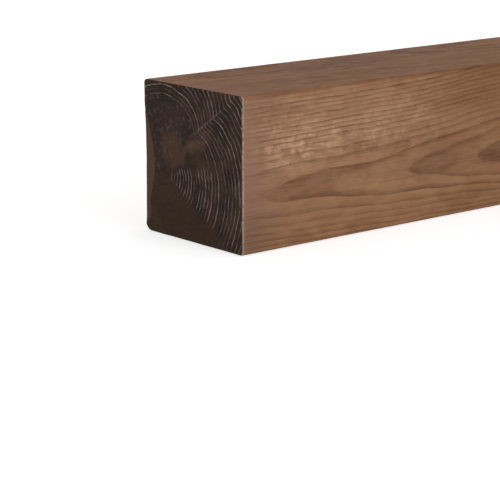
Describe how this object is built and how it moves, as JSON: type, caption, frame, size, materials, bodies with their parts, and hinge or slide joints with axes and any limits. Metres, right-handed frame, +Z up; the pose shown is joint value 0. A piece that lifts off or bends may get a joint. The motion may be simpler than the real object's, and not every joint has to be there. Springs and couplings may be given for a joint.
{
  "type": "pine fence post",
  "caption": "Square planed pine post, pressure treated brown, lying on one side: long straight stock with lightly rounded long edges and square-cut ends.",
  "frame": {"origin": "middle of the underside of the post as it lies", "axes": "+X along the post, from the end with the saw breakout to the plain end; +Z up, out of the upper long face; +Y across, towards the side with the worn lower edge"},
  "size_m": [2.4, 0.09, 0.09],
  "materials": {
    "treated_pine": "planed pine, brown pressure treatment, matt"
  },
  "bodies": {
    "root": {"fence_post": "treated_pine"}
  },
  "joints": []
}
